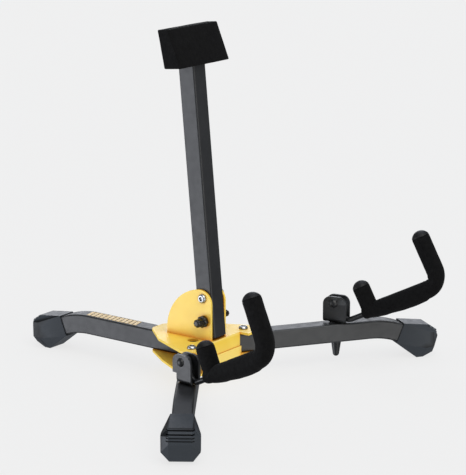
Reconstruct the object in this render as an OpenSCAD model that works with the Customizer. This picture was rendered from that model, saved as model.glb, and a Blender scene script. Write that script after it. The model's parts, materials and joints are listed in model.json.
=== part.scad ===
// Folding floor stand for a small guitar: a pressed hub, three legs, two foam yokes, one padded upright.
// The origin is on the floor under the middle of the stand. +X is the stand's left-to-right width,
// -Y is the side the guitar stands on, +Y is the rear leg, +Z is up.

/* [Tube] */
// Outer size of the square tube of the legs and the upright
tube = 19; // [18.8:0.1:19.2]
// Wall thickness of the square tube
tube_wall = 1.5; // [1.2:0.1:1.8]
// Radius of the tube's long outer edges
tube_edge = 2; // [1.6:0.1:2.2]

/* [Hub] */
// Thickness of the pressed sheet of the plates and ears
sheet = 2.4; // [2.2:0.1:2.5]
// Height of the floor side of the top plate
plate_z = 43; // [43:0.1:43.4]
// Gap between the two plates
plate_gap = 19.6; // [19.6:0.1:19.8]
// Half of the gap between the two upright ears
ear_half_gap = 9.8; // [9.8:0.1:10]
// Height of the big arc's centre on the ears
ear_arc_z = 50.2; // [49.8:0.1:50.6]
// Radius of the big arc on the ears
ear_arc_r = 45; // [44:0.5:46]
// Width of the front flange
flange_w = 62; // [60:0.5:62]
// Radius of the lock holes in the top plate
lock_hole_r = 5.5; // [5.2:0.1:5.8]

/* [Legs] */
// Angle between the rear leg and each front leg
leg_spread = 124.6; // [124:0.1:125]
// Radius from the hub's middle to where a front leg enters its foot
front_reach = 217; // [214:1:220]
// Radius from the hub's middle to where the rear leg enters its foot
rear_reach = 162.5; // [160:0.5:165]
// Downward bend at the end of each leg
leg_bend = 22; // [21:0.5:23]
// Radius of that bend, at the tube's middle
leg_bend_r = 85; // [84:0.5:86]
// Radius from the hub's middle to a front leg's pivot
pivot_reach = 51; // [50.5:0.1:51.5]
// Radius from the hub's middle to a front leg's lock button
lock_reach = 24; // [23.8:0.1:24.2]

/* [Feet] */
// Widest part of a foot
foot_w = 35; // [34:0.5:36]
// Width of a foot's sole and top face
foot_flat_w = 21; // [20.8:0.1:21.4]
// Depth of the grip grooves on the nose of a foot
groove_depth = 0.9; // [0.7:0.1:1.1]

/* [Upright] */
// Backward lean of the upright
lean = 5.3; // [5:0.1:5.6]
// Length of the upright above its pivot
upright_up = 239.5; // [236:0.5:242]
// Length of the upright below its pivot
upright_down = 39.5; // [39:0.1:39.6]
// Width of the back pad
pad_w = 77; // [74:0.5:80]
// Height of the back pad
pad_h = 37; // [36:0.5:38]

/* [Yokes] */
// Radius from the hub's middle to a yoke's swivel
swivel_reach = 150.5; // [149:0.5:152]
// Outward heading of a yoke from straight ahead
yoke_heading = 11.4; // [10.5:0.1:12.5]
// Upward tilt of the bar that the guitar sits on
bar_tilt = 26.5; // [26:0.1:27]
// Length of that bar between the prongs' middles
bar_len = 80.8; // [80:0.1:82]
// Length of the long front prong
long_prong = 51.2; // [50:0.1:52]
// Length of the short rear prong
short_prong = 28.3; // [28:0.1:29]
// Outer radius of the foam sleeves
foam_r = 8.9; // [8.7:0.1:9]
// Radius of the steel rod
rod_r = 2.75; // [2.6:0.05:2.8]

/* [Hidden] */
$fn = 48;
hub_y = -3.4;
lap = 0.6;
step = 0.03;
tube_mid_z = plate_z - plate_gap / 2;
low_plate_z = plate_z - plate_gap - sheet;
plate_top_z = plate_z + sheet;
flange_front_y = -33;
flange_split_z = 31;
ear_front_y = -29.7;
ear_arc_y = -20.5;
ear_nose_r = 13.5;
ear_foot_y = ear_arc_y + ear_arc_r;
leg_inner = 14;
plug_lip = 1.5;
front_turn = 90 - leg_spread;
pivot_z = 86.6;
pivot_y = -19.3;
lock_drop = 22.5;
lock_y = pivot_y - lock_drop * sin(lean);
lock_z = pivot_z - lock_drop * cos(lean);
pin_r = 2.97;
bore_r = 3;
bush_r = 5;
stud_r = 2.5;
stud_bore_r = 2.55;
rear_bolts = [10, 25];
rear_nut_r = 4.6;
rear_nut_h = 4;
big_head_r = 4.6;
nut_across = 10;
nut_h = 4.6;
hex_key_r = 2.3;
hex_key_depth = 1.6;
button_low_z = 33;
button_rim_z = 38;
knob_clear = 0.2;
knob_collar_h = 4.6;
swivel_nut_z = 10.4;
foot_run_in = 12;
groove_len = 25;
bracket_z = 43;
bracket_sheet = 2;
cheek_gap = 7.8;
cheek_half = 12.4;
cheek_top = 70.3;
cheek_round = 8;
bracket_bend = 4.5;
bracket_base_u = 8;
bracket_step = [-7, 52];
rivet_u = -1;
rivet_z = 63.2;
rivet_r = 2.5;
bar_u = 37.9;
bar_z = 58.3;
knee_u = 11;
knee_z = 44.9;
knee_r = 7;
yoke_bend = 17;
short_foam_r = foam_r - 0.2;
cap_dome = 6.2;
pad_low_z = 226.8;
pad_front_low = -16.5;
pad_front_top = -5;
pad_back_low = 3.3;
pad_back_top = 7.9;
end_plate = 2;
button_r = 4.45;
knob_r = 6;
yellow = "#F2C828";
black = "#26282A";
foam_black = "#17181A";
rubber_grey = "#3A3F44";
silver = "#C9CBCE";

// ---- frames ----

module hub() {
  translate([0, hub_y, 0]) children();
}

// Draws a right-hand piece, or its mirror image on the left
module on_side(side) {
  hub() {
    if (side > 0) children();
    else mirror([1, 0, 0]) children();
  }
}

// Runs local +X out along a leg
module along_leg(turn) {
  rotate([0, 0, turn]) children();
}

// Puts local +Z along the upright, with the pivot at the origin
module on_upright() {
  hub() translate([0, pivot_y, pivot_z]) rotate([-lean, 0, 0]) children();
}

// Puts local +X forward along a yoke, with the swivel's axis on local Z
module at_swivel() {
  along_leg(front_turn) translate([swivel_reach, 0, 0])
    rotate([0, 0, -90 + yoke_heading - front_turn]) children();
}

// Puts local +X along the bar and local +Z along the prongs
module on_bar() {
  translate([bar_u, 0, bar_z]) rotate([0, -bar_tilt, 0]) children();
}

// ---- shared shapes ----

// Square with round corners, as plain squares and circles
module round_square(w, h, r) {
  square([w - 2 * r, h], center = true);
  square([w, h - 2 * r], center = true);
  for (x = [-1, 1], y = [-1, 1]) translate([x * (w / 2 - r), y * (h / 2 - r)]) circle(r);
}

// The path of a leg from an inner radius, round its bend and on into the foot
module leg_path(w, h, r, start, reach, run_in) {
  straight_end = reach - leg_bend_r * sin(leg_bend);
  translate([start, 0, tube_mid_z]) rotate([90, 0, 90]) linear_extrude(straight_end - start + lap)
    round_square(w, h, r);
  translate([straight_end, 0, tube_mid_z - leg_bend_r]) rotate([90, 0, 0])
    rotate([0, 0, 90 - leg_bend]) rotate_extrude(angle = leg_bend) translate([leg_bend_r, 0])
      round_square(h + 2 * step, w + 2 * step, r + step);
  at_leg_end(reach) translate([-lap, 0, 0]) rotate([90, 0, 90]) linear_extrude(run_in + lap)
    round_square(w, h, r);
}

// Puts local +X down the leg's bent end, at the middle of the tube
module at_leg_end(reach) {
  drop = leg_bend_r * (1 - cos(leg_bend));
  translate([reach, 0, tube_mid_z - drop]) rotate([0, leg_bend, 0]) children();
}

module leg_solid(h, start, reach) {
  leg_path(tube, h, tube_edge, start, reach, foot_run_in);
}

module leg_hollow(h, start, reach) {
  inner = 2 * tube_wall;
  leg_path(tube - inner, h - inner, tube_edge - 1, start - 1, reach, foot_run_in + 1);
}

// Round bar between two points of the XZ plane
module rod_line(a, b, r) {
  translate([a[0], 0, a[1]]) rotate([0, 90 - atan2(b[1] - a[1], b[0] - a[0]), 0])
    cylinder(h = norm(b - a), r = r);
}

// Bent round bar in the XZ plane, from one angle to another about a centre
module rod_arc(c, bend, from, to, r) {
  translate([c[0], 0, c[1]]) rotate([90, 0, 0]) rotate([0, 0, from])
    rotate_extrude(angle = to - from) translate([bend, 0]) circle(r);
}

module hex_nut(across, h, hole_r) {
  difference() {
    cylinder(h = h, r = across / 2 / cos(30), $fn = 6);
    translate([0, 0, -1]) cylinder(h = h + 2, r = hole_r);
  }
}

// Round head with a hex socket, standing on z = 0, and its shaft below
module socket_screw(head_r, head_h, shaft_r, shaft_len) {
  difference() {
    cylinder(h = head_h, r = head_r);
    translate([0, 0, head_h - hex_key_depth]) cylinder(h = 2, r = hex_key_r, $fn = 6);
  }
  translate([0, 0, -shaft_len]) cylinder(h = shaft_len, r = shaft_r);
}

// ---- hub ----

// Outline of a hub plate: a blunt tail, two waists and two round front lobes
module plate_outline(waist_r, lobe_x, lobe_r) {
  hull() {
    for (x = [-1, 1]) {
      translate([x * 6.5, 39.5]) circle(6.5);
      translate([x * 20, 8]) circle(waist_r);
      translate([x * lobe_x, -29.5]) circle(lobe_r);
    }
  }
}

// Plate with the front notch between its lobes and the two leg bolt holes
module plate(waist_r, lobe_x, lobe_r, half_notch) {
  difference() {
    linear_extrude(sheet) plate_outline(waist_r, lobe_x, lobe_r);
    translate([-half_notch, flange_front_y - 30, -1]) cube([2 * half_notch, 30, sheet + 2]);
    for (turn = [front_turn, 180 - front_turn])
      along_leg(turn) translate([pivot_reach, 0, -1]) cylinder(h = sheet + 2, r = pin_r);
    for (y = rear_bolts) translate([0, y, -1]) cylinder(h = sheet + 2, r = stud_r);
  }
}

// Front flange between two heights, its ends cut back to where the open legs rest
module flange(w, front, low, high) {
  difference() {
    translate([-w / 2, front, low]) cube([w, sheet, high - low]);
    for (turn = [front_turn, 180 - front_turn])
      along_leg(turn) translate([0, -tube / 2 - 0.1, low - 1]) cube([100, tube + 0.2, high - low + 2]);
  }
}

module top_plate() {
  color(yellow) hub() {
    difference() {
      translate([0, 0, plate_z]) plate(17.5, 41.5, 14, flange_w / 2);
      for (turn = [front_turn, 180 - front_turn]) along_leg(turn)
        translate([lock_reach, 0, plate_z - 1]) cylinder(h = sheet + 2, r = lock_hole_r);
    }
    flange(flange_w, flange_front_y, flange_split_z + 0.2, plate_z);
  }
}

module bottom_plate() {
  color(yellow) hub() {
    translate([0, 0, low_plate_z]) plate(14, 40, 15, flange_w / 2);
    flange(flange_w + 2, flange_front_y - 1, low_plate_z + sheet, flange_split_z);
    translate([-flange_w / 2, flange_front_y - 1, low_plate_z]) cube([flange_w, 4, sheet]);
  }
}

module ear(side) {
  arc_top = ear_front_y + ear_nose_r;
  arc_gap = ear_arc_r - ear_nose_r;
  nose_z = ear_arc_z + sqrt(pow(arc_gap, 2) - pow(arc_top - ear_arc_y, 2));
  join_y = ear_arc_y + (arc_top - ear_arc_y) * ear_arc_r / arc_gap;
  color(yellow) on_side(side) translate([ear_half_gap, 0, 0]) difference() {
    union() {
      intersection() {
        translate([0, ear_arc_y, ear_arc_z]) rotate([0, 90, 0])
          cylinder(h = sheet, r = ear_arc_r, $fn = 96);
        translate([0, join_y, ear_arc_z]) cube([sheet, 60, 60]);
      }
      translate([0, arc_top, nose_z]) rotate([0, 90, 0]) cylinder(h = sheet, r = ear_nose_r);
      translate([0, ear_front_y, plate_top_z])
        cube([sheet, join_y - ear_front_y, nose_z - plate_top_z]);
      translate([0, arc_top, plate_top_z])
        cube([sheet, ear_foot_y - arc_top, ear_arc_z - plate_top_z]);
    }
    translate([-1, pivot_y, pivot_z]) rotate([0, 90, 0]) cylinder(h = sheet + 2, r = pin_r);
    translate([-1, lock_y, lock_z]) rotate([0, 90, 0]) cylinder(h = sheet + 2, r = bore_r + 0.05);
  }
}

module left_ear() {
  ear(-1);
}

module right_ear() {
  ear(1);
}

module rear_leg() {
  color(black) hub() along_leg(90) difference() {
    leg_solid(plate_gap, 5, rear_reach);
    leg_hollow(plate_gap, 5, rear_reach);
    for (r = rear_bolts) translate([r, 0, 0]) cylinder(h = 60, r = stud_r);
  }
}

module rear_leg_plug() {
  color(black) hub() along_leg(90) translate([5 - plug_lip, 0, tube_mid_z]) rotate([90, 0, 90])
    linear_extrude(plug_lip) round_square(tube, plate_gap, tube_edge);
}

// Bolt through both plates and the rear leg, with its closed nut below
module rear_bolt(y) {
  stack = plate_top_z - low_plate_z;
  color(silver) hub() translate([0, y, plate_top_z]) {
    socket_screw(4, 2.4, stud_r, stack);
    translate([0, 0, -stack - rear_nut_h]) cylinder(h = rear_nut_h, r = rear_nut_r, $fn = 6);
  }
}

module rear_bolt_near() {
  rear_bolt(rear_bolts[0]);
}

module rear_bolt_far() {
  rear_bolt(rear_bolts[1]);
}

// Thin printed strip on the rear leg
module rear_label() {
  color(yellow) hub() translate([-6.5, 60, plate_z]) cube([13, 68, 0.2]);
}

module leg_bolt(side) {
  color(silver) on_side(side) along_leg(front_turn) translate([pivot_reach, 0, plate_top_z])
    socket_screw(big_head_r, 2.8, pin_r, plate_top_z - low_plate_z + nut_h);
}

module left_leg_bolt() {
  leg_bolt(-1);
}

module right_leg_bolt() {
  leg_bolt(1);
}

module leg_nut(side) {
  color(silver) on_side(side) along_leg(front_turn) translate([pivot_reach, 0, low_plate_z - nut_h])
    hex_nut(nut_across, nut_h, pin_r);
}

module left_leg_nut() {
  leg_nut(-1);
}

module right_leg_nut() {
  leg_nut(1);
}

// Pivot of the upright, its head on the left ear
module upright_bolt() {
  ear_out = ear_half_gap + sheet;
  color(silver) hub() translate([-ear_out, pivot_y, pivot_z]) rotate([0, -90, 0])
    socket_screw(big_head_r, 2.6, pin_r, 2 * ear_out + nut_h);
}

module upright_nut() {
  color(silver) hub() translate([ear_half_gap + sheet, pivot_y, pivot_z]) rotate([0, 90, 0])
    hex_nut(nut_across, nut_h, pin_r);
}

// Lock knob on an ear: a round collar, a nub that a finger pulls, and a stem in the ear
module lock_knob(side, nub_r, nub_len) {
  color(black) on_side(side) translate([ear_half_gap, lock_y, lock_z]) rotate([0, 90, 0]) {
    translate([0, 0, knob_clear + 0.1]) cylinder(h = sheet, r = bore_r);
    translate([0, 0, sheet + knob_clear]) cylinder(h = knob_collar_h, r = knob_r);
    translate([0, 0, sheet + knob_clear + knob_collar_h]) cylinder(h = nub_len, r = nub_r);
  }
}

module left_lock_knob() {
  lock_knob(-1, 4.2, 8.2);
}

module right_lock_knob() {
  lock_knob(1, 3.4, 9);
}

// ---- feet ----

// Foot outline seen from the side, from the collar round the nose to the sole
module foot_profile(reach) {
  translate([reach, 0]) polygon([
    [-4.1, 16.9], [14, 3], [18, 0], [25, 0], [35.5, 4.5], [41, 21], [39.5, 28], [31.5, 33.5], [4.1, 37.1]
  ]);
}

module foot_body(reach, w, grow) {
  hull() {
    rotate([90, 0, 0]) linear_extrude(foot_flat_w + grow, center = true) offset(delta = grow / 2)
      foot_profile(reach);
    translate([reach, 0, 0]) rotate([90, 0, 0]) linear_extrude(w + grow, center = true)
      polygon([[22, 23], [28, 27.5], [34.5, 27], [34.5, 12], [26, 11]]);
  }
}

// Boot over a leg's end, with grip grooves round the upper nose
module foot(reach) {
  difference() {
    foot_body(reach, foot_w, 0);
    leg_solid(tube, 60, reach);
    for (z = [23.4, 26, 28.6, 31.2]) difference() {
      translate([reach + 26, -groove_len / 2, z]) cube([30, groove_len, 1]);
      foot_body(reach, foot_w, -2 * groove_depth);
    }
  }
}

module rear_foot() {
  color(rubber_grey) hub() along_leg(90) difference() {
    foot(rear_reach);
    leg_solid(plate_gap, 60, rear_reach);
  }
}

module side_foot(side) {
  color(rubber_grey) on_side(side) along_leg(front_turn) foot(front_reach);
}

module left_foot() {
  side_foot(-1);
}

module right_foot() {
  side_foot(1);
}

// ---- front legs ----

module front_leg(side) {
  color(black) on_side(side) along_leg(front_turn) difference() {
    leg_solid(tube, leg_inner + plug_lip, front_reach);
    leg_hollow(tube, leg_inner + plug_lip, front_reach);
    translate([pivot_reach, 0, 0]) cylinder(h = 60, r = bush_r);
    translate([swivel_reach, 0, 0]) cylinder(h = 60, r = stud_r);
    translate([lock_reach, 0, tube_mid_z]) cylinder(h = 20, r = button_r + 0.05);
  }
}

module left_leg() {
  front_leg(-1);
}

module right_leg() {
  front_leg(1);
}

module leg_plug(side) {
  color(black) on_side(side) along_leg(front_turn) translate([leg_inner, 0, tube_mid_z])
    rotate([90, 0, 90]) {
      linear_extrude(plug_lip) round_square(tube, tube, tube_edge);
      linear_extrude(4)
        round_square(tube - 2 * tube_wall, tube - 2 * tube_wall, tube_edge - 1);
    }
}

module left_leg_plug() {
  leg_plug(-1);
}

module right_leg_plug() {
  leg_plug(1);
}

// Spacer that the leg turns with, a little longer than the tube is high
module leg_bush(side) {
  color("#E8E6DC") on_side(side) along_leg(front_turn)
    translate([pivot_reach, 0, tube_mid_z - plate_gap / 2 + 0.1]) difference() {
      cylinder(h = plate_gap - 0.2, r = bush_r);
      translate([0, 0, -1]) cylinder(h = plate_gap + 2, r = bore_r);
    }
}

module left_leg_bush() {
  leg_bush(-1);
}

module right_leg_bush() {
  leg_bush(1);
}

// Lock button inside a leg, just under the lock hole of the top plate
module leg_button(side) {
  color(black) on_side(side) along_leg(front_turn) translate([lock_reach, 0, 0]) {
    translate([0, 0, button_low_z]) cylinder(h = plate_z - 0.1 - button_low_z, r = button_r);
    translate([0, 0, button_rim_z]) cylinder(h = 2.8, r = button_r + 1.2);
  }
}

module left_leg_button() {
  leg_button(-1);
}

module right_leg_button() {
  leg_button(1);
}

module swivel_stud(side) {
  top = bracket_z + bracket_sheet + 0.2;
  color(black) on_side(side) along_leg(front_turn) translate([swivel_reach, 0, 0]) {
    translate([0, 0, top]) cylinder(h = 1.4, r = 2.8);
    translate([0, 0, 16]) cylinder(h = top - 16, r = stud_r);
  }
}

module left_swivel_stud() {
  swivel_stud(-1);
}

module right_swivel_stud() {
  swivel_stud(1);
}

// Tapered lock nut under a leg, with a round end
module swivel_nut(side) {
  nut_top = tube_mid_z - tube / 2;
  color(black) on_side(side) along_leg(front_turn) translate([swivel_reach, 0, 0]) difference() {
    union() {
      translate([0, 0, swivel_nut_z]) cylinder(h = nut_top - swivel_nut_z, r1 = 3.3, r2 = 5.2);
      translate([0, 0, swivel_nut_z]) sphere(3.3);
    }
    translate([0, 0, 16]) cylinder(h = 20, r = stud_r);
  }
}

module left_swivel_nut() {
  swivel_nut(-1);
}

module right_swivel_nut() {
  swivel_nut(1);
}

// ---- yoke brackets ----

// Outline of a cheek from the side: straight sides and round top corners
module cheek() {
  difference() {
    union() {
      for (x = [-1, 1]) translate([x * (cheek_half - cheek_round), cheek_top - cheek_round])
        circle(cheek_round);
      translate([-cheek_half + cheek_round, bracket_z])
        square([2 * (cheek_half - cheek_round), cheek_top - bracket_z]);
      translate([-cheek_half, bracket_z])
        square([2 * cheek_half, cheek_top - cheek_round - bracket_z]);
    }
    translate([rivet_u, rivet_z]) circle(rivet_r);
  }
}

// Section of a channel folded from sheet, with round lower corners and open sides above
module channel(half, low, r) {
  translate([-half, low + r]) square([2 * half, cheek_top + 2 - low - r]);
  translate([-half + r, low]) square([2 * (half - r), r + lap]);
  for (x = [-1, 1]) translate([x * (half - r), low + r]) circle(r);
}

// Folded bracket: the outer cheek has a step at its rear foot, the base is open in front of the rod
module bracket(side) {
  half = cheek_gap / 2;
  color(black) on_side(side) at_swivel() difference() {
    intersection() {
      rotate([90, 0, 90]) linear_extrude(3 * cheek_half, center = true) difference() {
        channel(half + bracket_sheet, bracket_z, bracket_bend);
        channel(half, bracket_z + bracket_sheet, 1.5);
      }
      rotate([90, 0, 0]) linear_extrude(30, center = true) cheek();
    }
    translate([0, 0, bracket_z - 1]) cylinder(h = 5, r = stud_bore_r);
    translate([bracket_base_u, -half, bracket_z - 1]) cube([10, cheek_gap, 6]);
    translate([-20, -half, bracket_z - 1])
      cube([20 + bracket_step[0], 20, bracket_step[1] - bracket_z + 1]);
  }
}

module left_bracket() {
  bracket(-1);
}

module right_bracket() {
  bracket(1);
}

// Rivet across the cheeks with a domed head on each side
module rivet(side) {
  out = cheek_gap / 2 + bracket_sheet;
  color(black) on_side(side) at_swivel() translate([rivet_u, 0, rivet_z]) rotate([90, 0, 0]) {
    translate([0, 0, -out]) cylinder(h = 2 * out, r = rivet_r);
    for (end = [-1, 1]) intersection() {
      translate([0, 0, end * (out - 1.7)]) sphere(4.6);
      translate([0, 0, end > 0 ? out : -out - 3]) cylinder(h = 3, r = 4.2);
    }
  }
}

module left_rivet() {
  rivet(-1);
}

module right_rivet() {
  rivet(1);
}

// ---- yokes ----

// The bent bar of a yoke from its rear corner to the tip of the long prong
module yoke_bar(r, tip) {
  rod_line([0, 0], [bar_len - yoke_bend, 0], r);
  rod_arc([bar_len - yoke_bend, yoke_bend], yoke_bend, -90, 0, r);
  rod_line([bar_len, yoke_bend], [bar_len, tip], r);
}

// The part of the rod that hooks from the rivet down and forward to the bar
module yoke_neck(r) {
  knee = [knee_u, knee_z];
  out_a = atan2(bar_z - knee_z, bar_u - knee_u);
  in_a = atan2(rivet_z - knee_z, rivet_u - knee_u);
  half = (in_a - out_a) / 2;
  mid = (in_a + out_a) / 2;
  run = knee_r / tan(half);
  rod_line(knee + (run - lap / 3) * [cos(out_a), sin(out_a)], [bar_u, bar_z], r - step);
  rod_arc(knee + knee_r / sin(half) * [cos(mid), sin(mid)], knee_r, in_a + 90, out_a + 270, r);
  rod_line(knee + (run - lap / 3) * [cos(in_a), sin(in_a)], [rivet_u, rivet_z], r - step);
}

module yoke_metal() {
  yoke_neck(rod_r);
  on_bar() {
    sphere(rod_r + step);
    yoke_bar(rod_r, long_prong - 4);
    rod_line([0, 0], [0, short_prong - 5], rod_r - step);
  }
}

module yoke_rod(side) {
  color(black) on_side(side) at_swivel() difference() {
    union() {
      yoke_metal();
      translate([rivet_u, 3.5, rivet_z]) rotate([90, 0, 0]) cylinder(h = 7, r = 4.6);
    }
    translate([rivet_u, 5, rivet_z]) rotate([90, 0, 0]) cylinder(h = 10, r = rivet_r + 0.05);
  }
}

module left_yoke_rod() {
  yoke_rod(-1);
}

module right_yoke_rod() {
  yoke_rod(1);
}

module long_foam(side) {
  color(foam_black) on_side(side) at_swivel() difference() {
    on_bar() {
      sphere(foam_r);
      yoke_bar(foam_r, long_prong);
    }
    yoke_metal();
  }
}

module left_long_foam() {
  long_foam(-1);
}

module right_long_foam() {
  long_foam(1);
}

module short_foam(side) {
  color(foam_black) on_side(side) at_swivel() on_bar() difference() {
    cylinder(h = short_prong - 1.2, r = short_foam_r);
    rod_line([-20, 0], [40, 0], foam_r + 0.05);
    rod_line([0, 0], [0, short_prong - 5], rod_r - step);
  }
}

module left_short_foam() {
  short_foam(-1);
}

module right_short_foam() {
  short_foam(1);
}

// Domed end cap standing on z = 0
module end_cap(r) {
  dome_r = (r * r + cap_dome * cap_dome) / (2 * cap_dome);
  intersection() {
    cylinder(h = cap_dome, r = r);
    translate([0, 0, cap_dome - dome_r]) sphere(dome_r);
  }
}

module long_cap(side) {
  color(foam_black) on_side(side) at_swivel() on_bar() translate([bar_len, 0, long_prong])
    end_cap(foam_r);
}

module left_long_cap() {
  long_cap(-1);
}

module right_long_cap() {
  long_cap(1);
}

module short_cap(side) {
  color(foam_black) on_side(side) at_swivel() on_bar() translate([0, 0, short_prong - 1.2])
    end_cap(short_foam_r);
}

module left_short_cap() {
  short_cap(-1);
}

module right_short_cap() {
  short_cap(1);
}

// ---- upright ----

module upright_tube() {
  color(black) on_upright() translate([0, 0, -upright_down]) difference() {
    linear_extrude(upright_up + upright_down) round_square(tube, tube, tube_edge);
    translate([0, 0, -1]) linear_extrude(upright_up + upright_down + 2)
      round_square(tube - 2 * tube_wall, tube - 2 * tube_wall, tube_edge - 1);
    translate([-20, 0, upright_down]) rotate([0, 90, 0]) cylinder(h = 40, r = bush_r);
  }
}

module upright_bush() {
  color("#E8E6DC") on_upright() translate([-tube / 2, 0, 0]) rotate([0, 90, 0]) difference() {
    cylinder(h = tube, r = bush_r);
    translate([0, 0, -1]) cylinder(h = tube + 2, r = bore_r);
  }
}

// Plug pushed into the tube's lower end
module upright_foot_plug() {
  color(black) on_upright() translate([0, 0, -upright_down]) linear_extrude(8)
    round_square(tube - 2 * tube_wall, tube - 2 * tube_wall, tube_edge - 1);
}

module end_plate_shape() {
  translate([0, 0, upright_up]) linear_extrude(end_plate) round_square(tube, tube, tube_edge);
}

module upright_end_plate() {
  color(black) on_upright() end_plate_shape();
}

module crossbar_shape() {
  translate([-30, -2.5, upright_up + end_plate]) cube([60, 3, 17.5]);
}

module pad_crossbar() {
  color(black) on_upright() crossbar_shape();
}

// Foam pad, leaning back more than the tube, with pockets for the tube's end and the crossbar
module back_pad() {
  pad_top_z = pad_low_z + pad_h;
  color(foam_black) on_upright() difference() {
    rotate([90, 0, 90]) linear_extrude(pad_w, center = true) polygon([
      [pad_front_low, pad_low_z], [pad_back_low, pad_low_z],
      [pad_back_top, pad_top_z], [pad_front_top, pad_top_z]
    ]);
    translate([0, 0, pad_low_z - 1]) linear_extrude(upright_up - pad_low_z + 1)
      round_square(tube, tube, tube_edge);
    end_plate_shape();
    crossbar_shape();
  }
}

top_plate();
left_ear();
right_ear();
bottom_plate();
rear_leg();
rear_leg_plug();
rear_foot();
rear_label();
rear_bolt_near();
rear_bolt_far();
left_leg_bolt();
right_leg_bolt();
left_leg_nut();
right_leg_nut();
upright_bolt();
upright_nut();
left_lock_knob();
right_lock_knob();
upright_tube();
upright_bush();
upright_foot_plug();
upright_end_plate();
pad_crossbar();
back_pad();
left_leg();
left_leg_plug();
left_leg_bush();
left_foot();
left_swivel_stud();
left_swivel_nut();
right_leg();
right_leg_plug();
right_leg_bush();
right_foot();
right_swivel_stud();
right_swivel_nut();
left_leg_button();
right_leg_button();
left_bracket();
right_bracket();
left_rivet();
right_rivet();
left_yoke_rod();
left_long_foam();
left_short_foam();
left_long_cap();
left_short_cap();
right_yoke_rod();
right_long_foam();
right_short_foam();
right_long_cap();
right_short_cap();
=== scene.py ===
import json
import math

import bmesh
import bpy
from mathutils import Matrix, Vector, noise


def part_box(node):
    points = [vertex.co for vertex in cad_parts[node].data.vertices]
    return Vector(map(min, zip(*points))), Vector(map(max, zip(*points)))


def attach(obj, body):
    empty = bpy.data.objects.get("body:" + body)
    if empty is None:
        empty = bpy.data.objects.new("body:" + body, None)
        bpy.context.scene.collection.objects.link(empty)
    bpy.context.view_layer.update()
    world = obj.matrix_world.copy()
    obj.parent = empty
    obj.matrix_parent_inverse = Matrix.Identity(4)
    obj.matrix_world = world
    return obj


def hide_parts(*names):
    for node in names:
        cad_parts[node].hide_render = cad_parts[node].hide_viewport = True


MM = 0.001
SIDES = ("left", "right")

# ---- sizes shared with the part ----

# Heights of the hub's top and underside, and half the width across its ears
HUB_TOP = 45.4
HUB_LOW = 21.0
EAR_OUT = 12.2
KNOB_CLEAR = 0.2
KNOB_COLLAR = 4.6
LEAN = math.radians(5.3)
BAR_U = 37.9
BAR_Z = 58.3
BAR_TILT = math.radians(26.5)
BAR_LENGTH = 80.8
BAR_BEND = 17.0
LONG_PRONG = 51.2
SHORT_PRONG = 27.1
FOAM_RADIUS = 8.9
SHORT_FOAM_RADIUS = 8.7
CAP_DOME = 6.2
# How far below a sleeve's end its straight skin stops, and the steps of its round tip
TIP_DEPTH = 0.8
TIP_STEPS = ((0.25, 0.25), (0.0, 0.9))
# Height and spacing of the foam skin's slight unevenness
SKIN_WOBBLE = 0.12
SKIN_WAVE = 7.0
PAD_WIDTH = 77.0
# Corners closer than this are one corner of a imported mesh
WELD_GAP = 0.002
# How far the long sleeve's underside hangs, as (along the bar, down)
UNDERSIDE = (
    (-2, -3.4), (0, -2.5), (5, -1.4), (14, 0), (20, 0), (33, 1.5), (50, 2), (60, 1.2), (64, 0),
)
# Corners of the pad's end, as (back, up) from the upright's pivot
PAD_END = ((-16.5, 226.8), (3.3, 226.8), (7.9, 263.8), (-5.0, 263.8))
BOLT_RADIUS = 2.97
BIG_HEAD = 4.6
NUT_CORNER = 5.77
NUT_HEIGHT = 4.6
# How far a bolt's end stands out of its nut, and its clearance in the nut's bore
BOLT_PAST_NUT = 0.3
THREAD_GAP = 0.1

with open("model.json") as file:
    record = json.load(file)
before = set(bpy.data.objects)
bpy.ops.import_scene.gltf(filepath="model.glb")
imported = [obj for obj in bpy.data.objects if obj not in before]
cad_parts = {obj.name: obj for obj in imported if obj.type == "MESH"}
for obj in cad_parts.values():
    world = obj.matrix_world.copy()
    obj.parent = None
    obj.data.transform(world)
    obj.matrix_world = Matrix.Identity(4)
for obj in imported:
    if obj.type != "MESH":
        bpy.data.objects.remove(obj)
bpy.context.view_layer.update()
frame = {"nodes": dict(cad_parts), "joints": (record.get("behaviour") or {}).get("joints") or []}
joints = {joint["name"]: joint for joint in frame["joints"]}


def joint_place(name):
    """A point on a joint's axis."""
    return Vector(joints[name]["pos_m"])


# ---- places ----


def aim(origin, direction):
    """Puts local Z along a direction, from an origin in metres."""
    turn = Vector(direction).to_track_quat("Z", "Y").to_matrix().to_4x4()
    return Matrix.Translation(origin) @ turn


def yoke_place(side):
    """Local X forward along a yoke and Z up, from the floor under its swivel."""
    across = -Vector(joints[side + "_yoke_tilt"]["axis"]).normalized()
    up = Vector((0, 0, 1))
    swivel = joint_place(side + "_yoke_swivel")
    place = Matrix((across.cross(up), across, up)).transposed().to_4x4()
    place.translation = (swivel.x, swivel.y, 0)
    return place


def bar_place(side):
    """Local X along the bar that the guitar sits on, Z along its prongs."""
    corner = Matrix.Translation(Vector((BAR_U, 0, BAR_Z)) * MM)
    return yoke_place(side) @ corner @ Matrix.Rotation(-BAR_TILT, 4, "Y")


def upright_place():
    """Local Z up along the upright, from its pivot."""
    return Matrix.Translation(joint_place("upright_fold")) @ Matrix.Rotation(-LEAN, 4, "X")


# ---- materials ----


def srgb(colour):
    """A #RRGGBB colour as the linear colour that shaders take."""
    parts = [int(colour[i : i + 2], 16) / 255 for i in (1, 3, 5)]
    linear = [p / 12.92 if p <= 0.04045 else ((p + 0.055) / 1.055) ** 2.4 for p in parts]
    return (*linear, 1)


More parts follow.
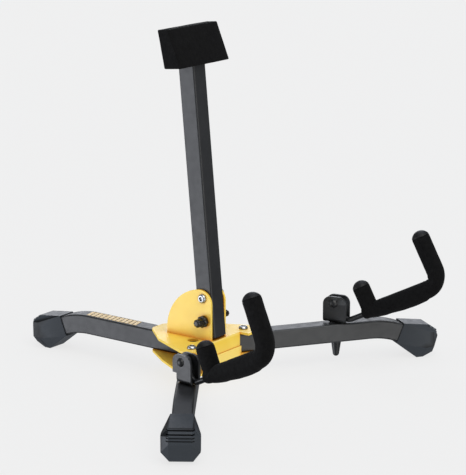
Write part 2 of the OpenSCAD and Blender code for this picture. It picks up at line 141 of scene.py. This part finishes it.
def add_node(tree, kind, inputs, **settings):
    """Adds a node with its settings; each input is a value, or an output to link from."""
    node = tree.nodes.new("ShaderNode" + kind)
    for name, value in settings.items():
        setattr(node, name, value)
    for name, value in inputs.items():
        if isinstance(value, bpy.types.NodeSocket):
            tree.links.new(value, node.inputs[name])
        else:
            node.inputs[name].default_value = value
    return node


def new_material(name):
    """An empty material, its node tree and the coordinates that its patterns follow."""
    material = bpy.data.materials.new(name)
    material.use_nodes = True
    material.node_tree.nodes.clear()
    where = add_node(material.node_tree, "TexCoord", {}).outputs["Object"]
    return material, material.node_tree, where


def patches(tree, where, size, low, high):
    """Soft patches of that size in millimetres, as a number between low and high."""
    cloud = add_node(tree, "TexNoise", {"Vector": where, "Scale": 1000 / size, "Detail": 2.0})
    spread = {"Value": cloud.outputs[0], 1: 0.3, 2: 0.7, 3: low, 4: high}
    return add_node(tree, "MapRange", spread).outputs[0]


def two_tone(tree, where, size, first, second):
    """Two close shades that drift into each other over patches of that size."""
    share = patches(tree, where, size, 0, 1)
    shades = {0: share, 6: srgb(first), 7: srgb(second)}
    return add_node(tree, "Mix", shades, data_type="RGBA").outputs[2]


def bumps(pattern, depth, under):
    """The settings of a relief that follows a pattern, that many millimetres deep."""
    inputs = {"Height": pattern, "Distance": depth * MM, "Strength": 1.0}
    return {**inputs, "Normal": under} if under else inputs


def grain(tree, where, size, depth, under=None):
    """A fine pebbled relief, its bumps that size apart."""
    cloud = add_node(tree, "TexNoise", {"Vector": where, "Scale": 1000 / size, "Detail": 1.0})
    return add_node(tree, "Bump", bumps(cloud.outputs[0], depth, under)).outputs[0]


def cells(tree, where, size, depth, under=None):
    """A relief of small round cells, that size apart."""
    pores = add_node(tree, "TexVoronoi", {"Vector": where, "Scale": 1000 / size})
    return add_node(tree, "Bump", bumps(pores.outputs["Distance"], depth, under)).outputs[0]


def painted_crevice_shade(tree, colour, shade_colour, reach, amount):
    """A colour with painted shade: it turns towards a darker one where surfaces closer than the
    reach hem it in.
    """
    open_sky = add_node(tree, "AmbientOcclusion", {"Distance": reach * MM}, samples=8)
    share = add_node(tree, "MapRange", {
        "Value": open_sky.outputs["AO"], 1: 0.35, 2: 0.95, 3: amount, 4: 0,
    })
    shades = {0: share.outputs[0], 6: colour, 7: srgb(shade_colour)}
    return add_node(tree, "Mix", shades, data_type="RGBA").outputs[2]


def shade(tree, inputs):
    """Ends a material in one shader."""
    shader = add_node(tree, "BsdfPrincipled", inputs)
    add_node(tree, "OutputMaterial", {"Surface": shader.outputs[0]})


def edge_wear_and_highlight(tree, colour, edge_colour, amount):
    """A colour that turns a little towards another where the surface bends sharply: partly edge
    wear, partly a painted highlight.
    """
    bend = add_node(tree, "NewGeometry", {}).outputs["Pointiness"]
    share = add_node(tree, "MapRange", {"Value": bend, 1: 0.52, 2: 0.62, 3: 0, 4: amount})
    shades = {0: share.outputs[0], 6: colour, 7: srgb(edge_colour)}
    return add_node(tree, "Mix", shades, data_type="RGBA").outputs[2]


def yellow_powder_coat():
    """Polyester powder baked on pressed steel: soft satin yellow, with painted orange shade in its
    folds.
    """
    material, tree, where = new_material("yellow_powder_coat")
    colour = two_tone(tree, where, 22, "#F0CD48", "#EBC43A")
    # Paler edges: partly edge wear, partly a painted highlight.
    colour = edge_wear_and_highlight(tree, colour, "#F6E08A", 0.5)
    shade(tree, {
        # Painted shade: the yellow turns orange in its folds and creases.
        "Base Color": painted_crevice_shade(tree, colour, "#D97F06", 7, 0.9),
        "Roughness": patches(tree, where, 9, 0.36, 0.46),
        "Normal": grain(tree, where, 1.8, 0.02),
        "Coat Weight": 0.15,
        "Coat Roughness": 0.3,
    })
    return material


def black_powder_coat():
    """Epoxy powder baked on steel tube: satin black, its fine texture greying in the light."""
    material, tree, where = new_material("black_powder_coat")
    colour = two_tone(tree, where, 14, "#141517", "#1A1B1D")
    # Paler edges: partly edge wear, partly a painted highlight.
    colour = edge_wear_and_highlight(tree, colour, "#36383B", 0.6)
    shade(tree, {
        # Painted shade: near black in crevices, such as where the tubes enter the feet.
        "Base Color": painted_crevice_shade(tree, colour, "#040404", 6, 0.9),
        "Roughness": patches(tree, where, 7, 0.38, 0.46),
        "Normal": grain(tree, where, 1.1, 0.02),
    })
    return material


def black_bracket_coat():
    """Smooth e-coat on a folded bracket and a bent rod: semi-gloss black with soft glints, its
    edges paler with wear and a painted highlight.
    """
    material, tree, where = new_material("black_bracket_coat")
    colour = two_tone(tree, where, 8, "#121315", "#191A1C")
    # Paler edges: partly edge wear, partly a painted highlight.
    colour = edge_wear_and_highlight(tree, colour, "#4A4D50", 0.6)
    shade(tree, {
        # Painted shade: near black in crevices and between the cheeks.
        "Base Color": painted_crevice_shade(tree, colour, "#030303", 5, 0.9),
        "Roughness": patches(tree, where, 5, 0.3, 0.4),
        "Normal": grain(tree, where, 2.4, 0.02),
    })
    return material


def closed_cell_foam():
    """Moulded closed-cell neoprene foam: deep matt black, with a pored and uneven skin.

    Its real pores are finer; they are drawn 1 mm apart so that they show.
    """
    material, tree, where = new_material("closed_cell_foam")
    skin = grain(tree, where, 6, 0.25)
    shade(tree, {
        "Base Color": two_tone(tree, where, 5, "#060607", "#0B0B0C"),
        "Roughness": patches(tree, where, 3, 0.75, 0.9),
        "Normal": cells(tree, where, 1.1, 0.16, skin),
        "Specular IOR Level": 0.12,
        "Sheen Weight": 0.015,
        "Sheen Roughness": 0.5,
    })
    return material


def moulded_cap_rubber():
    """Smooth moulded rubber end cap: a dull black that shows a soft light on its dome."""
    material, tree, where = new_material("moulded_cap_rubber")
    shade(tree, {
        "Base Color": two_tone(tree, where, 4, "#08080A", "#0D0D0F"),
        "Roughness": patches(tree, where, 4, 0.42, 0.55),
        "Normal": grain(tree, where, 1.2, 0.03),
        "Specular IOR Level": 0.28,
    })
    return material


def moulded_foot_rubber():
    """Moulded rubber boot: blue-grey black, matt from a spark-eroded mould, paler on its edges
    with wear and a painted highlight.
    """
    material, tree, where = new_material("moulded_foot_rubber")
    colour = two_tone(tree, where, 9, "#08090A", "#0E1012")
    # Paler edges: partly edge wear, partly a painted highlight.
    colour = edge_wear_and_highlight(tree, colour, "#3C4147", 0.7)
    shade(tree, {
        # Painted shade: near black in crevices, such as at its collar.
        "Base Color": painted_crevice_shade(tree, colour, "#050506", 4, 0.95),
        "Roughness": patches(tree, where, 6, 0.34, 0.44),
        "Normal": grain(tree, where, 0.9, 0.03),
        "Specular IOR Level": 0.22,
    })
    return material


def zinc_plated_steel():
    """Zinc plating on a turned screw: bright and silvery, with painted black shade in its socket.
    """
    material, tree, where = new_material("zinc_plated_steel")
    colour = two_tone(tree, where, 3, "#C6C8CA", "#B2B5B8")
    shade(tree, {
        # Painted shade: black in the socket.
        "Base Color": painted_crevice_shade(tree, colour, "#060606", 3.0, 1.0),
        "Metallic": 1.0,
        "Roughness": patches(tree, where, 2, 0.2, 0.32),
        "Normal": grain(tree, where, 0.8, 0.015),
    })
    return material


def moulded_black_nylon():
    """Glass filled nylon, injection moulded: brown-black, with small glints on its flutes."""
    material, tree, where = new_material("moulded_black_nylon")
    colour = two_tone(tree, where, 3, "#0C0908", "#15110E")
    shade(tree, {
        # Painted shade: near black in crevices.
        "Base Color": painted_crevice_shade(tree, colour, "#040404", 3, 0.9),
        "Roughness": patches(tree, where, 3, 0.2, 0.32),
        "Normal": grain(tree, where, 1.0, 0.03),
    })
    return material


def natural_nylon():
    """Uncoloured nylon of a turned bush: milky white with a soft shine."""
    material, tree, where = new_material("natural_nylon")
    shade(tree, {
        "Base Color": two_tone(tree, where, 4, "#E9E6DA", "#DFDBCD"),
        "Roughness": patches(tree, where, 3, 0.35, 0.5),
        "Normal": grain(tree, where, 1.0, 0.02),
    })
    return material


def screen_printed_gold():
    """Screen printed ink in a thin film: a pale, worn gold that thins in specks."""
    material, tree, where = new_material("screen_printed_gold")
    shade(tree, {
        "Base Color": two_tone(tree, where, 2, "#E6CC9C", "#D9BD8A"),
        "Roughness": patches(tree, where, 2, 0.45, 0.6),
        "Normal": grain(tree, where, 0.8, 0.01),
    })
    return material


def studio_paper():
    """Seamless background paper, lit from below as well: a plain, even off-white."""
    material, tree, where = new_material("studio_paper")
    shade(tree, {
        "Base Color": srgb("#5C5C5C"),
        "Roughness": patches(tree, where, 40, 0.9, 1.0),
        "Specular IOR Level": 0.0,
        "Emission Color": srgb("#FFFFFF"),
        "Emission Strength": 0.76,
    })
    return material


YELLOW = yellow_powder_coat()
BLACK = black_powder_coat()
BRACKET = black_bracket_coat()
FOAM = closed_cell_foam()
CAP = moulded_cap_rubber()
BOOT = moulded_foot_rubber()
ZINC = zinc_plated_steel()
NYLON = moulded_black_nylon()
BUSH = natural_nylon()
PRINT = screen_printed_gold()

# ---- meshes ----


def new_piece(name, bm, material, sharp=35.0):
    """Makes an object of a mesh, smooth but for edges sharper than that angle in degrees."""
    bmesh.ops.recalc_face_normals(bm, faces=bm.faces)
    for face in bm.faces:
        face.smooth = True
    for edge in bm.edges:
        edge.smooth = len(edge.link_faces) == 2 and edge.calc_face_angle() < math.radians(sharp)
    mesh = bpy.data.meshes.new(name)
    bm.to_mesh(mesh)
    bm.free()
    mesh.materials.append(material)
    piece = bpy.data.objects.new(name, mesh)
    bpy.context.scene.collection.objects.link(piece)
    return piece


def stand_for(piece, body, slot, *nodes):
    """The piece moves with a body, in place of these nodes."""
    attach(piece, body)
    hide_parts(*nodes)


def join_rings(bm, rings, ends=True):
    """Skins a row of rings of points, and closes its two ends."""
    count = len(rings[0])
    for low, high in zip(rings, rings[1:]):
        for i in range(count):
            bm.faces.new((low[i], low[(i + 1) % count], high[(i + 1) % count], high[i]))
    if ends:
        bm.faces.new(rings[0])
        bm.faces.new(rings[-1])


def ring_scale(shape, turn):
    """How far a ring of that shape reaches at a turn, as a share of its radius."""
    if shape == "hex":
        return math.cos(math.pi / 6) / math.cos(turn % (math.pi / 3) - math.pi / 6)
    if shape == "grip":
        flutes, depth = 8, 0.17
        return 1 - depth * (0.5 - 0.5 * math.cos(flutes * turn)) ** 2
    return 1


def turn_up(bm, profile, place, segments=72, ring=False):
    """Adds a turned shape. Each step of its profile is (radius, height, shape)."""
    rings = []
    for radius, height, shape in profile:
        points = []
        for i in range(segments):
            turn = 2 * math.pi * i / segments
            reach = radius * ring_scale(shape, turn)
            point = Vector((reach * math.cos(turn), reach * math.sin(turn), height)) * MM
            points.append(bm.verts.new(place @ point))
        rings.append(points)
    if ring:
        rings.append(rings[0])
    join_rings(bm, rings, not ring)


# ---- screws, nuts and knobs ----


def screw_head(bm, place, radius, height):
    """A domed head with a hex socket, on its seat at local zero."""
    turn_up(bm, [
        (0.93 * radius, 0.0, "round"),
        (radius, 0.25, "round"),
        (radius, 0.3 * height, "round"),
        (0.95 * radius, 0.55 * height, "round"),
        (0.85 * radius, 0.78 * height, "round"),
        (0.72 * radius, 0.93 * height, "round"),
        (0.62 * radius, height, "round"),
        (0.58 * radius, height, "hex"),
        (0.54 * radius, height - 0.2, "hex"),
        (0.54 * radius, height - 1.7, "hex"),
        (0.1 * radius, height - 2.0, "round"),
    ], place)


def bolt_end(bm, place, radius, length):
    """The plain end of a bolt, chamfered at its tip."""
    turn_up(bm, [
        (radius, 0.0, "round"),
        (radius, length - 0.7, "round"),
        (radius - 0.6, length, "round"),
    ], place)


def hex_nut(bm, place, corner, height, bore):
    """A hex nut with turned corners and a countersunk bore."""
    flat = corner * math.cos(math.pi / 6) - 0.15
    turn_up(bm, [
        (bore + 0.5, 0.0, "round"),
        (flat, 0.0, "round"),
        (corner, 0.55, "hex"),
        (corner, height - 0.55, "hex"),
        (flat, height, "round"),
        (bore + 0.5, height, "round"),
        (bore, height - 0.5, "round"),
        (bore, 0.5, "round"),
    ], place, ring=True)


def centre(node):
    """The middle of a node's box."""
    low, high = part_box(node)
    return (low + high) / 2


def hub_bolts():
    """The bolts through the two plates, and the nuts under them."""
    down = Vector((0, 0, -1))
    up = -down
    for name, radius, height, bolt, nut in (
        ("rear_bolt_near", 4.0, 2.4, 2.5, 4.0),
        ("rear_bolt_far", 4.0, 2.4, 2.5, 4.0),
        ("left_leg_bolt", BIG_HEAD, 2.8, BOLT_RADIUS, NUT_HEIGHT),
        ("right_leg_bolt", BIG_HEAD, 2.8, BOLT_RADIUS, NUT_HEIGHT),
    ):
        middle = centre(name)
        top = Vector((middle.x, middle.y, HUB_TOP * MM))
        low = Vector((middle.x, middle.y, HUB_LOW * MM))
        bm = bmesh.new()
        screw_head(bm, aim(top, up), radius, height)
        bolt_end(bm, aim(low, down), bolt - THREAD_GAP, nut)
        if name.startswith("rear"):
            hex_nut(bm, aim(low, down), radius + 0.6, nut - BOLT_PAST_NUT, bolt)
        stand_for(new_piece(name + "_turned", bm, ZINC), "hub", "bright_steel", name)
    for side in SIDES:
        middle = centre(side + "_leg_nut")
        low = Vector((middle.x, middle.y, HUB_LOW * MM))
        bm = bmesh.new()
        hex_nut(bm, aim(low, down), NUT_CORNER, NUT_HEIGHT - BOLT_PAST_NUT, BOLT_RADIUS)
        piece = new_piece(side + "_leg_nut_turned", bm, ZINC)
        stand_for(piece, "hub", "bright_steel", side + "_leg_nut")


def upright_bolt():
    """The upright's pivot: its head on the left ear, its nut on the right one."""
    pivot = joint_place("upright_fold")
    left = Vector((-EAR_OUT * MM, pivot.y, pivot.z))
    right = Vector((EAR_OUT * MM, pivot.y, pivot.z))
    bm = bmesh.new()
    screw_head(bm, aim(left, (-1, 0, 0)), BIG_HEAD, 2.6)
    bolt_end(bm, aim(right, (1, 0, 0)), BOLT_RADIUS - THREAD_GAP, NUT_HEIGHT)
    stand_for(new_piece("upright_bolt_turned", bm, ZINC), "hub", "bright_steel", "upright_bolt")
    bm = bmesh.new()
    hex_nut(bm, aim(right, (1, 0, 0)), NUT_CORNER, NUT_HEIGHT - BOLT_PAST_NUT, BOLT_RADIUS)
    stand_for(new_piece("upright_nut_turned", bm, ZINC), "hub", "bright_steel", "upright_nut")


def lock_knobs():
    """Spring knobs on the ears: a fluted collar, and a fluted nub that a finger pulls."""
    for side, way, nub, length in (("left", -1, 4.2, 8.2), ("right", 1, 3.4, 9.0)):
        middle = centre(side + "_lock_knob")
        seat = Vector((way * (EAR_OUT + KNOB_CLEAR) * MM, middle.y, middle.z))
        tip = KNOB_COLLAR + length
        bm = bmesh.new()
        turn_up(bm, [
            (2.9, -2.2, "round"),
            (2.9, 0.0, "round"),
            (5.2, 0.0, "round"),
            (6.0, 0.7, "grip"),
            (6.0, 3.7, "grip"),
            (5.3, KNOB_COLLAR - 0.1, "grip"),
            (nub + 0.5, KNOB_COLLAR, "round"),
            (nub, KNOB_COLLAR + 0.5, "grip"),
            (nub, tip - 2.2, "grip"),
            (0.93 * nub, tip - 1.1, "grip"),
            (0.75 * nub, tip - 0.4, "grip"),
            (0.45 * nub, tip - 0.05, "round"),
            (0.1 * nub, tip, "round"),
        ], aim(seat, (way, 0, 0)))
        piece = new_piece(side + "_knob_ribbed", bm, NYLON)
        stand_for(piece, side + "_knob", "black_plastic", side + "_lock_knob")


# ---- foam ----


def foam_ring(bm, place, middle, along, radius_at):
    """Adds a ring of foam skin round a point of the bar's plane, square to its heading."""
    segments = 44
    inward = Vector((-along.z, 0, along.x))
    ring = []
    for i in range(segments):
        turn = 2 * math.pi * i / segments
        point = middle + radius_at(turn) * (
            math.cos(turn) * inward + math.sin(turn) * Vector((0, 1, 0))
        )
        point += SKIN_WOBBLE * noise.noise_vector(point / SKIN_WAVE)
        ring.append(bm.verts.new(place @ (point * MM)))
    return ring


def bent_radius(bend):
    """The sleeve's reach at a bend: the foam is squeezed to a crease on the inside."""
    free = BAR_BEND - FOAM_RADIUS
    crease = BAR_BEND - free / math.cos(min(bend, math.pi / 2 - bend))
    pinch, ripple_height, ripples = 0.75, 0.2, 14
    squeeze = pinch * (FOAM_RADIUS - crease)

    def radius_at(turn):
        inside = max(0.0, math.cos(turn)) ** 2
        ripple = ripple_height * math.sin(ripples * bend) * inside
        return FOAM_RADIUS - squeeze * inside + ripple

    return radius_at


def sag(along):
    """How far the sleeve's underside hangs below a true round, at that length along the bar."""
    for (start, low), (stop, high) in zip(UNDERSIDE, UNDERSIDE[1:]):
        if start <= along <= stop:
            return low + (high - low) * (along - start) / (stop - start)
    return UNDERSIDE[0][1] if along < 0 else 0.0


def bar_radius(along, reach=FOAM_RADIUS):
    """The sleeve's reach on the straight bar: round above, and hanging or tucked in below."""
    hang = sag(along)

    def radius_at(turn):
        return reach * (1 + hang / FOAM_RADIUS * max(0.0, -math.cos(turn)) ** 1.5)

    return radius_at


def prong_rings(bm, place, along, radius, low, top, steps):
    """Rings of foam skin up a prong, evenly spaced at those steps, and round its tip."""
    up = Vector((0, 0, 1))
    foot = Vector((along, 0, 0))
    rings = []
    for step in steps:
        height = low + (top - TIP_DEPTH - low) * step / steps[-1]
        rings.append(foam_ring(bm, place, foot + up * height, up, lambda turn: radius))
    for below, inside in TIP_STEPS:
        reach = radius - inside
        middle = foot + up * (top - below)
        rings.append(foam_ring(bm, place, middle, up, lambda turn, r=reach: r))
    return rings


def finish_sleeve(name, bm, rings, side):
    """Closes a sleeve's skin and sets it on its yoke as foam."""
    join_rings(bm, rings)
    piece = new_piece(f"{side}_{name}_sleeve", bm, FOAM, sharp=60)
    stand_for(piece, side + "_yoke", "foam", f"{side}_{name}_foam")


def long_sleeve(side):
    """The long foam sleeve: a blunt rear end, the bar, the bend and the front prong."""
    place = bar_place(side)
    bm = bmesh.new()
    rings = []
    ahead = Vector((1, 0, 0))
    corner = 4.0
    for step in range(7):
        angle = math.radians(15 * step)
        reach = FOAM_RADIUS - corner * (1 - math.sin(angle))
        behind = -SHORT_FOAM_RADIUS + corner * (1 - math.cos(angle))
        radius_at = bar_radius(behind, reach)
        rings.append(foam_ring(bm, place, Vector((behind, 0, 0)), ahead, radius_at))
    straight = BAR_LENGTH - BAR_BEND
    start = corner - SHORT_FOAM_RADIUS
    for step in range(1, 36):
        along = start + (straight - start) * step / 36
        rings.append(foam_ring(bm, place, Vector((along, 0, 0)), ahead, bar_radius(along)))
    for step in range(19):
        bend = math.pi / 2 * step / 18
        along = Vector((math.cos(bend), 0, math.sin(bend)))
        middle = Vector((straight, 0, BAR_BEND)) + BAR_BEND * Vector((along.z, 0, -along.x))
        rings.append(foam_ring(bm, place, middle, along, bent_radius(bend)))
    rings += prong_rings(
        bm, place, BAR_LENGTH, FOAM_RADIUS, BAR_BEND, LONG_PRONG, range(1, 18)
    )
    finish_sleeve("long", bm, rings, side)


def short_sleeve(side):
    """The short foam sleeve, its foot pressed into the long one."""
    foot = 3.0
    bm = bmesh.new()
    place = bar_place(side)
    rings = prong_rings(bm, place, 0.0, SHORT_FOAM_RADIUS, foot, SHORT_PRONG, range(15))
    finish_sleeve("short", bm, rings, side)


def prong_caps(side):
    """Domed rubber caps on the ends of both prongs."""
    for name, along, base, radius in (
        ("long", BAR_LENGTH, LONG_PRONG, FOAM_RADIUS),
        ("short", 0.0, SHORT_PRONG, SHORT_FOAM_RADIUS),
    ):
        place = bar_place(side) @ Matrix.Translation(Vector((along, 0, base)) * MM)
        dome = (radius**2 + CAP_DOME**2) / (2 * CAP_DOME)
        widest = math.asin(radius / dome)
        profile = [(radius - 0.5, 0.0, "round"), (radius - 0.08, 0.25, "round")]
        steps = 12
        for step in range(1, steps):
            angle = widest * (1 - step / steps)
            height = CAP_DOME - dome + dome * math.cos(angle)
            profile.append((dome * math.sin(angle), height, "round"))
        profile.append((0.2, CAP_DOME, "round"))
        bm = bmesh.new()
        turn_up(bm, profile, place, segments=48)
        piece = new_piece(f"{side}_{name}_cap_domed", bm, CAP, sharp=60)
        stand_for(piece, side + "_yoke", "cap_rubber", f"{side}_{name}_cap")


def back_pad():
    """The foam block that the guitar's body leans on, cut square with softly rubbed edges."""
    rubbed, crowned, lump, lump_wave = 1.2, 0.7, 0.18, 11
    bm = bmesh.new()
    ends = []
    for way in (-1, 1):
        ends.append([bm.verts.new(Vector((way * PAD_WIDTH / 2, y, z))) for y, z in PAD_END])
    join_rings(bm, ends)
    bmesh.ops.bevel(bm, geom=bm.edges[:], offset=rubbed, segments=3, affect="EDGES", profile=0.5)
    long_edges = [edge for edge in bm.edges if edge.calc_length() > 5]
    bmesh.ops.subdivide_edges(bm, edges=long_edges, cuts=9, use_grid_fill=True)
    bm.normal_update()
    low, high = PAD_END[0][1], PAD_END[2][1]
    place = upright_place()
    moved = []
    for vertex in bm.verts:
        across = 2 * vertex.co.x / PAD_WIDTH
        up = 2 * (vertex.co.z - low) / (high - low) - 1
        crown = crowned * max(0, 1 - across**2) * max(0, 1 - up**2) * (vertex.normal.y < -0.5)
        swell = crown + lump * noise.noise(vertex.co / lump_wave)
        moved.append(vertex.co + vertex.normal * swell)
    for vertex, point in zip(bm.verts, moved):
        vertex.co = place @ (point * MM)
    piece = new_piece("back_pad_foam", bm, FOAM, sharp=60)
    stand_for(piece, "upright", "foam", "back_pad")


# ---- print ----


def rear_stripes():
    """Plain slanted bars printed along the top of the rear leg, and over the start of its bend."""
    low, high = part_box("rear_label")
    shift = 9 * MM
    bend_start = high.y + 2.6 * MM
    bend_radius = 94.8 * MM
    count = 12
    pitch = (high.y - low.y) / (count + 0.5)
    slant = 0.5 * pitch
    inked = 0.78 * pitch
    bm = bmesh.new()

    def on_leg(x, y, z):
        """A corner of a bar, lowered with the leg past the start of its bend."""
        past = max(0.0, y - bend_start)
        return bm.verts.new((x, y, z - bend_radius + math.sqrt(bend_radius**2 - past**2)))

    for i in range(count):
        start = low.y + shift + i * pitch
        corners = (
            (low.x, start),
            (high.x, start + slant),
            (high.x, start + slant + inked),
            (low.x, start + inked),
        )
        join_rings(bm, [[on_leg(x, y, z) for x, y in corners] for z in (low.z, high.z)])
    piece = new_piece("rear_leg_print", bm, PRINT)
    stand_for(piece, "hub", "print", "rear_label")


# ---- pressed, drawn and moulded parts, as packed ----


def dress(nodes, material, edge=0.0, angle=35.0):
    """Gives nodes a material, and breaks edges sharper than the angle by that many millimetres."""
    for name in nodes:
        node = frame["nodes"][name]
        node.data.materials.clear()
        node.data.materials.append(material)
        if not edge:
            continue
        normals = node.data.attributes.get("custom_normal")
        if normals:
            node.data.attributes.remove(normals)
        node.data.polygons.foreach_set("use_smooth", [True] * len(node.data.polygons))
        weld = node.modifiers.new("weld", "WELD")
        weld.merge_threshold = WELD_GAP * MM
        flats = node.modifiers.new("flats", "DECIMATE")
        flats.decimate_type = "DISSOLVE"
        flats.angle_limit = math.radians(1)
        bevel = node.modifiers.new("edge", "BEVEL")
        bevel.width = edge * MM
        bevel.segments = 2
        bevel.limit_method = "ANGLE"
        bevel.angle_limit = math.radians(angle)
        bevel.harden_normals = False
        facing = node.modifiers.new("facing", "WEIGHTED_NORMAL")
        facing.keep_sharp = False


def pair(part):
    """The left and right node of that part."""
    return [f"{side}_{part}" for side in SIDES]


def pressed_and_moulded_parts():
    """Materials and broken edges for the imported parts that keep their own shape."""
    dress(["top_plate", "bottom_plate", "left_ear", "right_ear"], YELLOW, 0.35)
    dress(["rear_leg", "upright_tube", "upright_end_plate", "pad_crossbar"], BLACK, 0.2)
    dress(pair("leg"), BLACK, 0.2)
    dress(pair("bracket"), BRACKET, 0.35)
    dress(pair("yoke_rod") + pair("rivet"), BRACKET)
    dress(pair("swivel_nut") + pair("swivel_stud"), BRACKET)
    dress(pair("foot") + ["rear_foot"], BOOT, 0.45, 22)
    dress(pair("leg_button") + pair("leg_plug"), NYLON)
    dress(["rear_leg_plug", "upright_foot_plug"], NYLON)
    dress(pair("leg_bush") + ["upright_bush"], BUSH)


# ---- studio ----


def sun(name, direction, strength, angle, colour):
    """Even light from one direction, as wide as a studio soft box of that angle in degrees."""
    light = bpy.data.lights.new(name, "SUN")
    light.energy = strength
    light.angle = math.radians(angle)
    light.color = srgb(colour)[:3]
    lamp = bpy.data.objects.new(name, light)
    lamp.matrix_world = aim(Vector((0, 0, 2)), direction)
    bpy.context.scene.collection.objects.link(lamp)


def studio():
    """A pale paper floor in a dim room, and five soft boxes.

    The floor isn't mirrored in the stand, and lets the light of the low boxes through.
    """
    bm = bmesh.new()
    bmesh.ops.create_circle(bm, cap_ends=True, segments=64, radius=30)
    floor = new_piece("studio_floor", bm, studio_paper())
    floor.visible_glossy = False
    floor.visible_shadow = False
    world = bpy.data.worlds.new("dim_room")
    world.use_nodes = True
    world.node_tree.nodes.clear()
    room = add_node(world.node_tree, "Background", {"Color": srgb("#F2F5FA"), "Strength": 0.28})
    add_node(world.node_tree, "OutputWorld", {"Surface": room.outputs[0]})
    bpy.context.scene.world = world
    sun("high_soft_box", (-0.5, -0.8, 1.4), 2.0, 60, "#FFFEFB")
    sun("top_soft_box", (0.35, 0.3, 0.88), 0.7, 50, "#EAF1FF")
    sun("back_left_soft_box", (-0.75, 0.68, -0.15), 1.9, 50, "#F4F7FF")
    sun("front_soft_box", (-0.26, -0.93, -0.15), 0.8, 44, "#FFFDF8")
    sun("back_right_soft_box", (0.78, 0.58, 0.22), 0.36, 26, "#F4F7FF")


def camera():
    """A long lens, low and to the stand's left."""
    azimuth, elevation = math.radians(-53.68), math.radians(13.81)
    distance = 1.9
    target = Vector((-30.2, -72.8, 158.5)) * MM
    towards = Vector((
        math.sin(azimuth) * math.cos(elevation),
        -math.cos(azimuth) * math.cos(elevation),
        math.sin(elevation),
    ))
    data = bpy.data.cameras.new("camera")
    data.lens = 153.2
    data.sensor_width = 36.0
    eye = bpy.data.objects.new("camera", data)
    eye.matrix_world = aim(target + distance * towards, towards)
    bpy.context.scene.collection.objects.link(eye)
    bpy.context.scene.camera = eye


camera()
pressed_and_moulded_parts()
hub_bolts()
upright_bolt()
lock_knobs()
for yoke_side in SIDES:
    long_sleeve(yoke_side)
    short_sleeve(yoke_side)
    prong_caps(yoke_side)
back_pad()
rear_stripes()
studio()
bpy.context.scene.view_settings.view_transform = "Standard"

bpy.context.view_layer.update()
